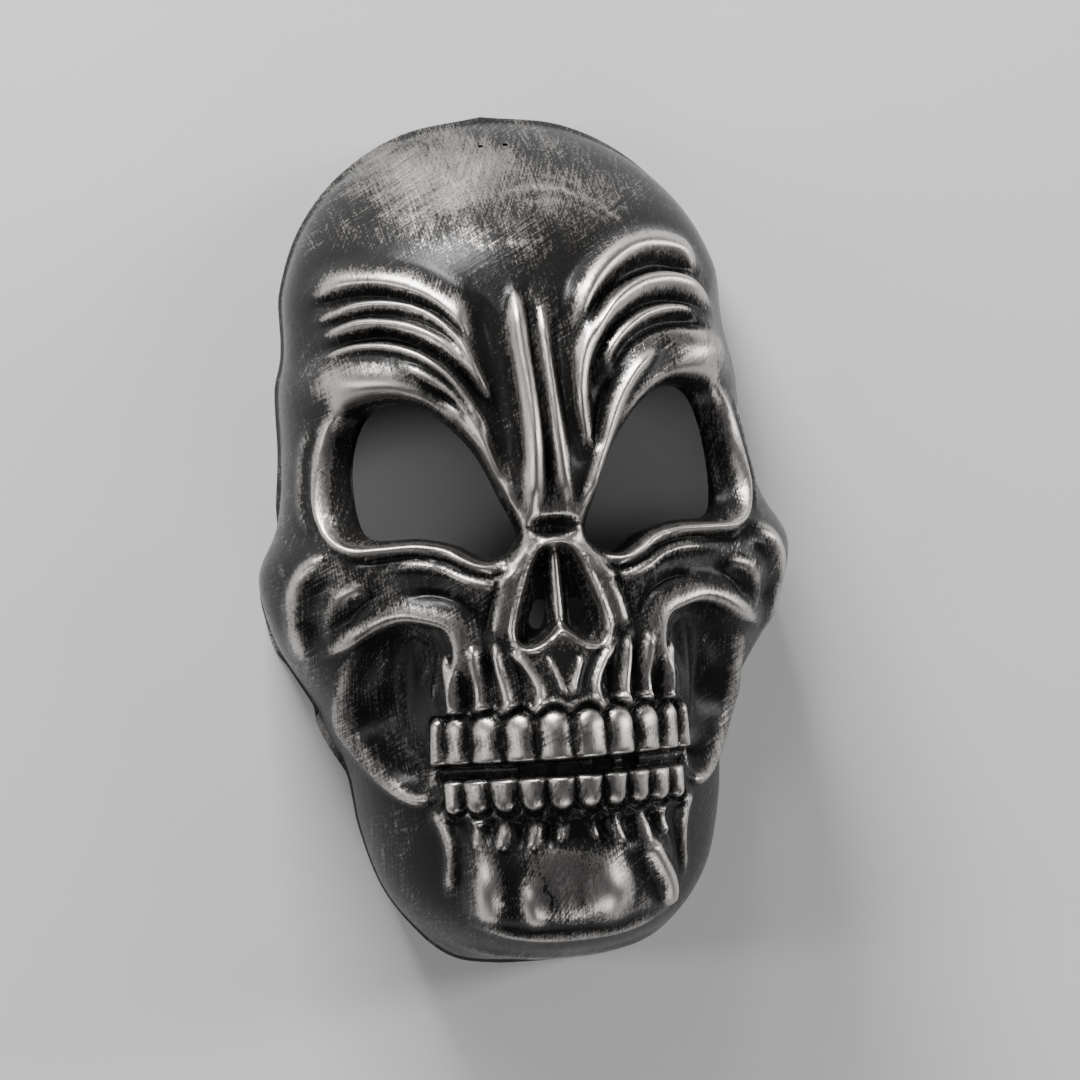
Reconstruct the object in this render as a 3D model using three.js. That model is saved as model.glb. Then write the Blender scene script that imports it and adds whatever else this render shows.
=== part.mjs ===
import * as THREE from 'three';

// A rigid skull mask, moulded in one piece from thin plastic. Lengths are in mm. The mask lies face up:
// +Z points out of the face, +Y to the forehead and +X to the viewer's right. Its flat rim lies on Z = 0.

// Driving dimensions
const width = 160;
const height = 262;
const depth = 86;
const wall = 2;
const relief = 10;
const rimLip = 1.2;
const rimLipHeight = 3;
const laceHole = 1.8;
const eyeRollDepth = 7;
const eyeRollWidth = 5;
const nosePitDepth = 6;
const nosePitSlope = 3.2;
const noseEdgeRise = 1.3;
const noseEdgeWidth = 1.4;
const nostrilWidth = 4.6;
const nostrilLength = 9.6;
const cheekHollowDepth = 9;
const toothRise = 3;
const gumRise = 1.1;
const gumGroove = 1;
const gumSlope = 2;
const upperToothHeight = 14.5;
const lowerToothHeight = 10.5;
const mouthBandHeight = 5;
const mouthBandDepth = 3;
const mouthBarRise = 1.3;
const mouthBandSlope = 0.8;
const mouthBandEndSlope = 3;
const mouthSlotHeight = 3.2;
const chinRise = 2;
const chinSlope = 5;
const gumArch = 1.2;

// Fineness of the faceted surface
const surfaceError = 1.0;
const longestEdge = 14;
const shortestEdge = 6;
const laceEdge = 1.3;
const slotEdge = 2.4;
const eyeEdge = 8;
const edgeGrowth = 2.5;
const toothEdge = 5.5;
const netColumns = 16;

const halfWidth = width / 2;
const halfHeight = height / 2;
const percent = 1 / 100;

// Cross sections from the chin to the forehead. Each is an arch that stands on the rim line and rises to the
// crown line. rimX and flare are shares of the half width, rimY and crownY of the half height, crownZ of the
// depth. round is the power that squares the arch (under 1) or points it (over 1).
const sections = [
  { rimX: 0, rimY: -1, crownY: -1, crownZ: 0, flare: 0, round: 1 },
  { rimX: 0.175, rimY: -0.996, crownY: -0.989, crownZ: 0.3, flare: 0, round: 1 },
  { rimX: 0.34, rimY: -0.973, crownY: -0.966, crownZ: 0.65, flare: 0.03, round: 1 },
  { rimX: 0.475, rimY: -0.9, crownY: -0.9, crownZ: 0.885, flare: 0.06, round: 1 },
  { rimX: 0.59, rimY: -0.794, crownY: -0.78, crownZ: 0.965, flare: 0.085, round: 1.05 },
  { rimX: 0.66, rimY: -0.656, crownY: -0.62, crownZ: 0.99, flare: 0.09, round: 1.1 },
  { rimX: 0.695, rimY: -0.52, crownY: -0.465, crownZ: 1, flare: 0.095, round: 1.15 },
  { rimX: 0.79, rimY: -0.375, crownY: -0.32, crownZ: 0.975, flare: 0.09, round: 1.12 },
  { rimX: 0.925, rimY: -0.215, crownY: -0.168, crownZ: 0.955, flare: 0.11, round: 1 },
  { rimX: 0.955, rimY: -0.06, crownY: -0.03, crownZ: 0.93, flare: 0.14, round: 0.95 },
  { rimX: 0.895, rimY: 0.076, crownY: 0.1, crownZ: 0.93, flare: 0.09, round: 0.92 },
  { rimX: 0.875, rimY: 0.245, crownY: 0.26, crownZ: 0.93, flare: 0.05, round: 0.92 },
  { rimX: 0.87, rimY: 0.443, crownY: 0.443, crownZ: 0.885, flare: 0.05, round: 0.92 },
  { rimX: 0.83, rimY: 0.61, crownY: 0.603, crownZ: 0.79, flare: 0.05, round: 0.92 },
  { rimX: 0.735, rimY: 0.763, crownY: 0.74, crownZ: 0.64, flare: 0.038, round: 0.94 },
  { rimX: 0.56, rimY: 0.886, crownY: 0.863, crownZ: 0.407, flare: 0.02, round: 0.97 },
  { rimX: 0.31, rimY: 0.97, crownY: 0.954, crownZ: 0.175, flare: 0, round: 1 },
  { rimX: 0, rimY: 1, crownY: 1, crownZ: 0, flare: 0, round: 1 },
];

// Ridges and grooves of the face. Points are percent of the half width and half height, rise is percent of
// the relief, wide is the half width of the fold to the left and right of its path in percent of the half
// width. A fold on both sides is given on the right and mirrored.
const folds = [
  { name: 'upper fold', side: 'one', rise: 44, wide: [13, 6],
    path: [[14, 46], [21, 56], [30, 62], [41, 66], [52.5, 67], [63, 65], [72, 60]] },
  { name: 'upper groove', side: 'one', rise: -26, wide: [5, 5],
    path: [[18, 45], [26, 54], [37.5, 59.5], [48, 62], [58, 62.5], [68, 60]] },
  { name: 'middle fold', side: 'one', rise: 46, wide: [5, 7],
    path: [[16, 20], [13, 30], [13.8, 37.4], [17, 44], [25, 51], [35, 55.5], [46, 58], [57.5, 58],
      [67.5, 55.5], [76, 51]] },
  { name: 'lower groove', side: 'one', rise: -26, wide: [5, 5],
    path: [[27, 38], [35, 44], [46, 47.8], [58, 48.6], [71, 46.5]] },
  { name: 'brow edge fold', side: 'one', rise: 36, wide: [4, 5],
    path: [[12, 7], [16.3, 14], [22.5, 23.5], [29, 32], [37, 38.6], [47, 43]] },
  { name: 'left upper fold', side: 'one', rise: 40, wide: [5, 12],
    path: [[-22, 46], [-30, 53.5], [-40, 58.5], [-52, 61.5], [-66, 62], [-80, 59]] },
  { name: 'left upper groove', side: 'one', rise: -24, wide: [4, 4],
    path: [[-24, 43], [-33, 50.5], [-44, 55.5], [-57, 58], [-70, 58], [-82, 55.5]] },
  { name: 'left lower fold', side: 'one', rise: 34, wide: [5, 5],
    path: [[-18, 29], [-22.5, 35.5], [-29, 41.5], [-38, 46.5], [-49, 50], [-62, 51], [-80, 48]] },
  { name: 'left lower groove', side: 'one', rise: -30, wide: [4.4, 4.4],
    path: [[-22, 25], [-27, 33.5], [-35, 41], [-46, 46], [-60, 48], [-80, 45.5]] },
  { name: 'left centre ridge', side: 'one', rise: 46, wide: [5.5, 6.5],
    path: [[-6.5, 60], [-7, 46], [-6, 30], [-6.5, 16], [-8, 5]] },
  { name: 'right centre ridge', side: 'one', rise: 24, wide: [4.5, 5],
    path: [[3, 56], [2.5, 45], [3.2, 28], [4.5, 16.5], [6.5, 6.5]] },
  { name: 'left centre valley', side: 'one', rise: -36, wide: [8, 8],
    path: [[-23, 60], [-19, 47.3], [-16.5, 34.4], [-15.5, 23], [-15.5, 13]] },
  { name: 'right centre valley', side: 'one', rise: -30, wide: [4.5, 4.5],
    path: [[11, 56], [8.6, 46], [8.2, 36.6], [9.2, 27.5], [11, 17]] },
  { name: 'eye rim', side: 'both', rise: 28, wide: [3.6, 3.6],
    path: [[11, 1.5], [19, -3], [26, -4.8], [34, -3], [41, -0.3], [51, 1], [63, 0.6], [73, 0.4], [80, 3.4],
      [82.5, 9], [82, 16], [80, 24], [77, 30], [70, 36]] },
  { name: 'cheekbone crest', side: 'both', rise: 30, wide: [5, 5],
    path: [[66, -10.5], [74, -7.5], [83, -6], [93, -7]] },
  { name: 'cheekbone foot', side: 'both', rise: 26, wide: [4, 4],
    path: [[77.5, -17], [86, -15.3], [95, -15]] },
  { name: 'cheekbone edge', side: 'both', rise: 46, wide: [5, 7],
    path: [[40, -38], [37.5, -30], [35, -23], [36.5, -18.3], [42, -15.2], [51, -13.6], [61, -14.6],
      [71, -18], [79, -22.5]] },
  { name: 'nose side', side: 'both', rise: 14, wide: [5, 5],
    path: [[10, 1], [16, -6], [22.5, -15.5], [25, -23]] },
  { name: 'inner tooth root', side: 'both', rise: 22, wide: [2.6, 2.6],
    path: [[20, -26], [11.5, -31], [9.4, -36], [11.9, -40]] },
  { name: 'second tooth root', side: 'both', rise: 26, wide: [2.8, 2.8],
    path: [[25, -25], [22.5, -32], [20.8, -40]] },
  { name: 'outer tooth root', side: 'both', rise: 24, wide: [2.6, 2.6],
    path: [[44, -24], [42, -32], [39, -40]] },
  { name: 'jaw branch', side: 'both', rise: 22, wide: [3, 5],
    path: [[79, -30], [76.5, -40], [70, -48], [62.5, -55], [55, -58.5], [48, -58]] },
  { name: 'chin side', side: 'both', rise: 20, wide: [3.6, 3.6],
    path: [[50, -60], [46, -65], [44, -72], [45, -82]] },
  { name: 'chin corner', side: 'one', rise: 26, wide: [4, 4],
    path: [[25, -70], [30, -76], [36, -85]] },
  { name: 'chin lower edge', side: 'one', rise: 14, wide: [4, 4],
    path: [[-38, -86], [-19, -89], [0, -90], [19, -89], [38, -86]] },
];

// Soft swellings and dents, as tilted ellipses. x and reachX are percent of the half width, y and reachY of
// the half height, rise of the relief, tilt is in degrees.
const mounds = [
  { name: 'glabella', side: 'one', x: 0, y: 20, reachX: 24, reachY: 30, tilt: 0, rise: 40 },
  { name: 'nose root', side: 'one', x: 0, y: 3.4, reachX: 14, reachY: 3.2, tilt: 0, rise: -40 },
  { name: 'left brow', side: 'one', x: -64, y: 41.5, reachX: 30, reachY: 9.5, tilt: -4, rise: 46 },
  { name: 'right brow', side: 'one', x: 66, y: 41.5, reachX: 20, reachY: 9.5, tilt: -10, rise: 46 },
  { name: 'inner brow', side: 'both', x: 34, y: 46, reachX: 30, reachY: 16, tilt: 35, rise: 18 },
  { name: 'cheekbone', side: 'both', x: 84, y: -6, reachX: 22, reachY: 11, tilt: 10, rise: 36 },
  { name: 'beside the nose', side: 'both', x: 32.5, y: -9.5, reachX: 13, reachY: 9, tilt: 0, rise: 14 },
  { name: 'muzzle', side: 'one', x: 0, y: -44, reachX: 50, reachY: 24.5, tilt: 0, rise: 30 },
  { name: 'cheek muscle', side: 'both', x: 57, y: -37, reachX: 10, reachY: 20, tilt: 4, rise: 44 },
  { name: 'under lip', side: 'one', x: 0, y: -67, reachX: 38, reachY: 6, tilt: 0, rise: -26 },
  { name: 'chin left bump', side: 'one', x: -35, y: -77, reachX: 6.5, reachY: 9, tilt: 2, rise: 26 },
  { name: 'chin inner bump', side: 'one', x: -22.5, y: -79, reachX: 6.5, reachY: 7.5, tilt: 15, rise: 22 },
  { name: 'chin middle bump', side: 'one', x: 5, y: -79, reachX: 13, reachY: 9, tilt: 0, rise: 28 },
  { name: 'temple', side: 'both', x: 85, y: 48, reachX: 14, reachY: 15, tilt: 0, rise: -24 },
  { name: 'forehead', side: 'one', x: -14, y: 72, reachX: 34, reachY: 16, tilt: 20, rise: 10 },
];

// Outlines on the right side, in percent of the half width and half height
const eyeOutline = [[14.5, 2.5], [20, 10], [27.5, 19.5], [35, 26], [46, 32], [58, 34.5], [70, 32], [77, 23],
  [77, 10], [70, 4], [52, 2.8], [38, 0.4], [27, -3], [18, -1.8]];
const cheekHollowOutline = [[56, -14.5], [69, -17], [77.5, -24], [79, -33], [76, -42], [69, -50],
  [62, -56], [54, -58], [49, -54], [46.5, -44], [45, -36], [42, -29], [43, -20]];
const noseRightOutline = [[0, 0], [6, -1], [10, -4.5], [14, -10.5], [18, -18], [18.5, -22], [15, -24.8],
  [9, -24.5], [4, -22.5], [0, -21]];
const chinRightOutline = [[0, -64], [25, -64], [38, -67], [43, -75], [42, -84], [32, -89], [0, -91]];

// Teeth and openings. Places and widths across are percent of the half width, heights of the half height.
const mouthLine = -52.3;
const upperTeeth = [
  { x: 6, wide: 11.5 }, { x: 18, wide: 11 }, { x: 29.8, wide: 11 }, { x: 40, wide: 8.3 }, { x: 46.8, wide: 5.6 },
];
const lowerTeeth = [
  { x: 5, wide: 9.8 }, { x: 15, wide: 9.8 }, { x: 25, wide: 9.8 }, { x: 34.6, wide: 9 }, { x: 42.4, wide: 6.2 },
];
const mouthSlots = [{ x: -15.5, wide: 10 }, { x: -2, wide: 9.5 }, { x: 12, wide: 9.5 }, { x: 24, wide: 8 }];
const nostril = { x: 8.3, y: -16.3, tilt: 20 };
// Lace holes: along is the place from the chin (0) to the forehead (1), turn the place on the arch in
// percent of its sweep, from the right rim to the left.
const laceHoles = [
  { along: 0.926, turn: 46 }, { along: 0.926, turn: 54 },
  { along: 0.365, turn: 4.5 }, { along: 0.341, turn: 4.5 },
  { along: 0.365, turn: 95.5 }, { along: 0.341, turn: 95.5 },
];

const clamp = (value, low, high) => Math.min(Math.max(value, low), high);
const smooth = (value) => THREE.MathUtils.smoothstep(value, 0, 1);
const bump = (q) => (Math.abs(q) < 1 ? (1 - q * q) ** 2 : 0);
const place = ([x, y]) => new THREE.Vector3(x * percent * halfWidth, y * percent * halfHeight, 0);
const mirrored = (path) => path.map(([x, y]) => [-x, y]);
const bothHalves = (path) => [...path, ...mirrored(path.slice(1, -1)).reverse()];

// Smooth curve through a few points, as straight pieces
function curvePoints(path, closed) {
  const curve = new THREE.CatmullRomCurve3(path.map(place), closed, 'catmullrom', 0.5);
  return curve.getPoints(path.length * 4);
}

// Distance from a point to straight pieces, how far along them the nearest place is, and if it is to the left
function nearest(points, x, y) {
  let best = { distance: Infinity, along: 0, left: false };
  for (let i = 0; i + 1 < points.length; i += 1) {
    const a = points[i];
    const b = points[i + 1];
    const dx = b.x - a.x;
    const dy = b.y - a.y;
    const f = clamp(((x - a.x) * dx + (y - a.y) * dy) / (dx * dx + dy * dy), 0, 1);
    const distance = Math.hypot(x - a.x - f * dx, y - a.y - f * dy);
    const left = dx * (y - a.y) > dy * (x - a.x);
    if (distance < best.distance) best = { distance, along: (i + f) / (points.length - 1), left };
  }
  return best;
}

// Distance to a closed outline, negative inside it
function outlineDistance(points, x, y) {
  let inside = false;
  for (let i = 0; i + 1 < points.length; i += 1) {
    const a = points[i];
    const b = points[i + 1];
    if ((a.y > y) !== (b.y > y) && x < a.x + ((y - a.y) / (b.y - a.y)) * (b.x - a.x)) inside = !inside;
  }
  const { distance } = nearest(points, x, y);
  return inside ? -distance : distance;
}

const foldCurves = folds.flatMap((fold) => {
  const [left, right] = fold.wide;
  const copies = [{ path: fold.path, left, right }];
  if (fold.side === 'both') copies.push({ path: mirrored(fold.path), left: right, right: left });
  return copies.map((copy) => {
    const points = curvePoints(copy.path, false);
    const reach = Math.max(left, right) * percent * halfWidth;
    const box = new THREE.Box3().setFromPoints(points).expandByScalar(reach);
    return { rise: fold.rise * percent * relief, left: copy.left, right: copy.right, points, box };
  });
});
const mirroredMounds = mounds.flatMap((mound) => (
  mound.side === 'both' ? [mound, { ...mound, x: -mound.x, tilt: -mound.tilt }] : [mound]));
const eyeCurves = [eyeOutline, mirrored(eyeOutline)].map((path) => curvePoints(path, true));
const cheekCurves = [cheekHollowOutline, mirrored(cheekHollowOutline)].map((path) => curvePoints(path, true));
const noseCurve = curvePoints(bothHalves(noseRightOutline), true);
const chinCurve = curvePoints(bothHalves(chinRightOutline), true);

function foldHeight(x, y) {
  const fade = 0.22;
  let total = 0;
  for (const { rise, left, right, points, box } of foldCurves) {
    if (x > box.min.x && x < box.max.x && y > box.min.y && y < box.max.y) {
      const near = nearest(points, x, y);
      const ends = smooth((near.along + 0.03) / fade) * smooth((1.03 - near.along) / fade);
      const wide = (near.left ? left : right) * percent * halfWidth * (0.5 + 0.5 * ends);
      total += rise * bump(near.distance / wide) * ends;
    }
  }
  return total;
}

function moundHeight(x, y) {
  let total = 0;
  for (const mound of mirroredMounds) {
    const dx = x - mound.x * percent * halfWidth;
    const dy = y - mound.y * percent * halfHeight;
    const tilt = THREE.MathUtils.degToRad(mound.tilt);
    const across = (dx * Math.cos(tilt) + dy * Math.sin(tilt)) / (mound.reachX * percent * halfWidth);
    const up = (dy * Math.cos(tilt) - dx * Math.sin(tilt)) / (mound.reachY * percent * halfHeight);
    total += mound.rise * percent * relief * bump(Math.hypot(across, up));
  }
  return total;
}

// Teeth are upright half rounds with an arched gum. The two rows stand above and below the sunk mouth band.
function toothHeight(x, y) {
  const line = mouthLine * percent * halfHeight;
  const rows = [
    { teeth: upperTeeth, tall: upperToothHeight, up: y - line - mouthBandHeight / 2 },
    { teeth: lowerTeeth, tall: lowerToothHeight, up: line - y - mouthBandHeight / 2 },
  ];
  let total = 0;
  for (const { teeth, tall, up } of rows) {
    const q = Math.min(...teeth.map((tooth) => {
      const half = tooth.wide * percent * halfWidth / 2;
      const arch = Math.max(up - (tall - half * gumArch), 0) / gumArch;
      return Math.hypot(Math.abs(x) - tooth.x * percent * halfWidth, arch) / half;
    }));
    const body = toothRise * Math.sqrt(clamp(1 - q * q, 0, 1));
    const gums = gumRise * bump((q - 1.5) / 0.26) - gumGroove * bump((q - 1.12) / 0.2);
    total += (body + gums * smooth((up - 0.4 * tall) / gumSlope)) * smooth(up / mouthBandSlope + 0.7);
  }
  const middleGap = Math.abs(y - line);
  const lastTooth = upperTeeth[upperTeeth.length - 1];
  const rowEnd = (lastTooth.x + lastTooth.wide / 2) * percent * halfWidth;
  const toBandEdge = (mouthBandHeight / 2 - middleGap) / mouthBandSlope;
  const inBand = smooth(toBandEdge + 0.4) * smooth((rowEnd - Math.abs(x)) / mouthBandEndSlope);
  const bar = mouthBarRise * smooth(toBandEdge - 0.9);
  return total - (mouthBandDepth - bar) * inBand;
}

// Pits with a soft edge: the cheek hollows, the nose and the rolled-in edge of the eye holes. The chin stands
// out in the same way.
function pitHeight(x, y) {
  let total = 0;
  for (const curve of cheekCurves) {
    total -= cheekHollowDepth * smooth(-outlineDistance(curve, x, y) / (cheekHollowDepth * 1.1));
  }
  for (const curve of eyeCurves) {
    total -= eyeRollDepth * clamp(1 - Math.max(outlineDistance(curve, x, y), 0) / eyeRollWidth, 0, 1) ** 2;
  }
  const insideNose = -outlineDistance(noseCurve, x, y);
  const septum = bump(x / (0.045 * halfWidth)) * 0.6;
  total -= nosePitDepth * smooth(insideNose / nosePitSlope) * (1 - septum);
  const chin = chinRise * smooth(-outlineDistance(chinCurve, x, y) / chinSlope);
  return total + noseEdgeRise * bump(insideNose / noseEdgeWidth) + chin;
}

const reliefHeight = (x, y) => foldHeight(x, y) + moundHeight(x, y) + toothHeight(x, y) + pitHeight(x, y);

// Sections blended by a smooth spline, at a place from the chin (0) to the forehead (1)
function sectionAt(along) {
  const last = sections.length - 1;
  const spot = clamp(along, 0, 1) * last;
  const k = Math.min(Math.floor(spot), last - 1);
  const f = spot - k;
  const value = (i, key) => {
    if (i < 0) return 2 * sections[0][key] - sections[1][key];
    if (i > last) return 2 * sections[last][key] - sections[last - 1][key];
    return sections[i][key];
  };
  const blend = (key) => {
    const [a, b, c, d] = [k - 1, k, k + 1, k + 2].map((i) => value(i, key));
    return b + 0.5 * f * (c - a + f * (2 * a - 5 * b + 4 * c - d + f * (3 * (b - c) + d - a)));
  };
  return Object.fromEntries(Object.keys(sections[0]).map((key) => [key, blend(key)]));
}

// The smooth form under the relief
function basePoint(along, turn) {
  const section = sectionAt(along);
  const side = Math.sign(Math.cos(turn));
  const up = Math.abs(Math.sin(turn)) ** section.round;
  const across = Math.abs(Math.cos(turn)) ** section.round;
  return new THREE.Vector3(
    side * halfWidth * (section.rimX * across + section.flare * Math.sin(Math.PI * up)),
    halfHeight * (section.rimY + (section.crownY - section.rimY) * up),
    depth * section.crownZ * up,
  );
}

// Outward direction of the smooth form, turned level near the rim so that the rim stays flat
function baseNormal(along, turn, point) {
  const step = 0.002;
  const v = clamp(along, 2 * step, 1 - 2 * step);
  const t = clamp(turn, 2 * step, Math.PI - 2 * step);
  const alongMask = basePoint(v + step, t).sub(basePoint(v - step, t));
  const aroundArch = basePoint(v, t + step).sub(basePoint(v, t - step));
  const normal = aroundArch.cross(alongMask).negate().normalize();
  normal.z *= smooth(point.z / (0.1 * depth));
  return normal.normalize();
}

// One place of the shell: its outer point, its inner point and its distance to the nearest hole
function shellPlace(along, turn) {
  const base = basePoint(along, turn);
  const normal = baseNormal(along, turn, base);
  const step = wall / 5;
  const rise = reliefHeight(base.x, base.y);
  const slopeX = (reliefHeight(base.x + step, base.y) - rise) / step;
  const slopeY = (reliefHeight(base.x, base.y + step) - rise) / step;
  const slope = Math.min(Math.hypot(slopeX, slopeY) * Math.max(normal.z, 0), 1.2);
  const lip = rimLip * bump(base.z / rimLipHeight);
  const outer = base.clone().addScaledVector(normal, rise + lip);
  const inner = base.clone().addScaledVector(normal, rise - wall * Math.hypot(1, slope));
  return { along, turn, outer, inner, ...holeAt(base) };
}

function slotDistance(x, y, wide, tall) {
  const corner = 0.3 * tall;
  const dx = Math.abs(x) - wide / 2 + corner;
  const dy = Math.abs(y) - tall / 2 + corner;
  return Math.hypot(Math.max(dx, 0), Math.max(dy, 0)) + Math.min(Math.max(dx, dy), 0) - corner;
}

const laceCentres = laceHoles.map(({ along, turn }) => basePoint(along, turn * percent * Math.PI));

// The longest edge wanted at a place: short on the teeth
function reliefEdge(x, y) {
  const line = mouthLine * percent * halfHeight;
  const lastTooth = upperTeeth[upperTeeth.length - 1];
  const onTeeth = Math.abs(x) < (lastTooth.x + lastTooth.wide) * percent * halfWidth
    && y - line < mouthBandHeight + upperToothHeight && line - y < mouthBandHeight + lowerToothHeight;
  return onTeeth ? toothEdge : longestEdge;
}

// Distance to the nearest hole, negative inside it, and the longest edge wanted there
function holeAt(base) {
  const found = { hole: Infinity, edge: reliefEdge(base.x, base.y) };
  const add = (distance, fineEdge) => {
    found.hole = Math.min(found.hole, distance);
    found.edge = Math.min(found.edge, fineEdge + edgeGrowth * Math.abs(distance));
  };
  for (const curve of eyeCurves) add(outlineDistance(curve, base.x, base.y), eyeEdge);
  for (const side of [-1, 1]) {
    const tilt = THREE.MathUtils.degToRad(nostril.tilt * side);
    const dx = base.x - side * nostril.x * percent * halfWidth;
    const dy = base.y - nostril.y * percent * halfHeight;
    const across = dx * Math.cos(tilt) + dy * Math.sin(tilt);
    const up = dy * Math.cos(tilt) - dx * Math.sin(tilt);
    const straight = (nostrilLength - nostrilWidth) / 2;
    add(Math.hypot(across, Math.max(Math.abs(up) - straight, 0)) - nostrilWidth / 2, slotEdge);
  }
  for (const slot of mouthSlots) {
    const dx = base.x - slot.x * percent * halfWidth;
    const dy = base.y - mouthLine * percent * halfHeight;
    add(slotDistance(dx, dy, slot.wide * percent * halfWidth, mouthSlotHeight), slotEdge);
  }
  for (const centre of laceCentres) add(base.distanceTo(centre) - laceHole / 2, laceEdge);
  return found;
}

// A coarse net over the whole face, from the chin point through the arches to the forehead point
function coarseNet() {
  const rows = 2 * (sections.length - 1);
  const columns = netColumns;
  const places = [shellPlace(0, Math.PI / 2)];
  for (let i = 1; i < rows; i += 1) {
    for (let j = 0; j <= columns; j += 1) places.push(shellPlace(i / rows, (j / columns) * Math.PI));
  }
  places.push(shellPlace(1, Math.PI / 2));
  const top = places.length - 1;
  const index = (i, j) => 1 + (i - 1) * (columns + 1) + j;
  const triangles = [];
  for (let j = 0; j < columns; j += 1) {
    triangles.push([0, index(1, j), index(1, j + 1)]);
    for (let i = 1; i < rows - 1; i += 1) {
      triangles.push([index(i, j), index(i + 1, j), index(i + 1, j + 1)]);
      triangles.push([index(i, j), index(i + 1, j + 1), index(i, j + 1)]);
    }
    triangles.push([index(rows - 1, j), top, index(rows - 1, j + 1)]);
  }
  return { places, triangles };
}

const isEnd = (spot) => spot.along === 0 || spot.along === 1;

function between(a, b, f) {
  let turn = THREE.MathUtils.lerp(a.turn, b.turn, f);
  if (isEnd(a)) turn = b.turn;
  if (isEnd(b)) turn = a.turn;
  return shellPlace(THREE.MathUtils.lerp(a.along, b.along, f), turn);
}

const edgeKey = (a, b) => (a < b ? `${a},${b}` : `${b},${a}`);

// Edges that are too long, or stray too far from the surface, are halved until none is left
function refine({ places, triangles }) {
  let current = triangles;
  for (let round = 0; round < 7; round += 1) {
    const middles = new Map();
    const split = (a, b) => {
      const key = edgeKey(a, b);
      if (!middles.has(key)) {
        const middle = between(places[a], places[b], 0.5);
        const length = places[a].outer.distanceTo(places[b].outer);
        const straying = (spot, f) => (
          spot.outer.distanceTo(places[a].outer.clone().lerp(places[b].outer, f)) > surfaceError);
        const strays = length > shortestEdge && middle.hole > -wall && (straying(middle, 0.5)
          || [0.25, 0.75].some((f) => straying(between(places[a], places[b], f), f)));
        const wanted = Math.min(places[a].edge, places[b].edge, middle.edge);
        const long = length > wanted && middle.hole > -1.5 * length;
        middles.set(key, strays || long ? places.push(middle) - 1 : -1);
      }
      return middles.get(key);
    };
    const next = [];
    for (const [a, b, c] of current) next.push(...divide([a, b, c], [split(a, b), split(b, c), split(c, a)]));
    if (next.length === current.length) break;
    current = next;
  }
  return { places, triangles: current };
}

// Splits one triangle at the middles of its marked edges
function divide(corners, middles) {
  const marked = middles.filter((m) => m >= 0).length;
  const turns = [0, 1, 2].map((k) => [k, (k + 1) % 3, (k + 2) % 3]);
  if (marked === 0) return [corners];
  if (marked === 3) {
    const [a, b, c] = corners;
    const [ab, bc, ca] = middles;
    return [[a, ab, ca], [ab, b, bc], [ca, bc, c], [ab, bc, ca]];
  }
  if (marked === 1) {
    const [i, j, k] = turns.find(([first]) => middles[first] >= 0);
    return [[corners[i], middles[i], corners[k]], [middles[i], corners[j], corners[k]]];
  }
  const [i, j, k] = turns.find(([, , third]) => middles[third] < 0);
  return [[middles[i], corners[j], middles[j]], [corners[i], middles[i], middles[j]],
    [corners[i], middles[j], corners[k]]];
}

// Cuts the holes: corners close to a hole's edge move onto it, the other crossed edges get a new corner there
function cutHoles({ places, triangles }) {
  const crossing = (a, b) => {
    let low = 0;
    let high = 1;
    let spot = between(places[a], places[b], 0.5);
    for (let step = 0; step < 12; step += 1) {
      const f = (low + high) / 2;
      spot = between(places[a], places[b], f);
      if (Math.sign(spot.hole) === Math.sign(places[a].hole)) low = f;
      else high = f;
    }
    spot.hole = 0;
    return { spot, share: low };
  };
  const edges = new Map();
  for (const [a, b, c] of triangles) {
    for (const [p, q] of [[a, b], [b, c], [c, a]]) edges.set(edgeKey(p, q), [Math.min(p, q), Math.max(p, q)]);
  }
  const moves = new Map();
  for (const [a, b] of edges.values()) {
    if (places[a].hole * places[b].hole < 0) {
      const { spot, share } = crossing(a, b);
      for (const [corner, near] of [[a, share], [b, 1 - share]]) {
        if (near < 0.3 && (!moves.has(corner) || near < moves.get(corner).near)) moves.set(corner, { spot, near });
      }
    }
  }
  for (const [corner, { spot }] of moves) places[corner] = spot;
  const cuts = new Map();
  const cut = (a, b) => {
    if (places[a].hole * places[b].hole >= 0) return -1;
    const key = edgeKey(a, b);
    if (!cuts.has(key)) cuts.set(key, places.push(crossing(Math.min(a, b), Math.max(a, b)).spot) - 1);
    return cuts.get(key);
  };
  const kept = [];
  for (const [a, b, c] of triangles) {
    for (const piece of divide([a, b, c], [cut(a, b), cut(b, c), cut(c, a)])) {
      const signs = piece.map((corner) => Math.sign(places[corner].hole));
      if (Math.min(...signs) >= 0 && Math.max(...signs) > 0) kept.push(piece);
    }
  }
  return { places, triangles: kept };
}

// Closes the shell: outer faces, inner faces turned round, and a wall along every open edge
function closeShell({ places, triangles }) {
  const innerStart = places.length;
  const openEdges = new Set();
  const indices = [];
  for (const [a, b, c] of triangles) {
    indices.push(a, b, c, innerStart + a, innerStart + c, innerStart + b);
    for (const [p, q] of [[a, b], [b, c], [c, a]]) {
      if (!openEdges.delete(`${q},${p}`)) openEdges.add(`${p},${q}`);
    }
  }
  for (const edge of openEdges) {
    const [a, b] = edge.split(',').map(Number);
    indices.push(b, a, innerStart + a, b, innerStart + a, innerStart + b);
  }
  const used = [...new Set(indices)];
  const newIndex = new Map(used.map((old, i) => [old, i]));
  const corners = used.map((old) => (old < innerStart ? places[old].outer : places[old - innerStart].inner));
  const geometry = new THREE.BufferGeometry().setFromPoints(corners);
  geometry.setIndex(indices.map((old) => newIndex.get(old)));
  geometry.computeVertexNormals();
  return geometry;
}

const plastic = new THREE.MeshStandardMaterial({ color: 0x3b3836, roughness: 0.34, metalness: 0.55 });
const maskShell = new THREE.Mesh(closeShell(cutHoles(refine(coarseNet()))), plastic);
maskShell.name = 'mask_shell';

const group = new THREE.Group();
group.add(maskShell);

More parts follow.
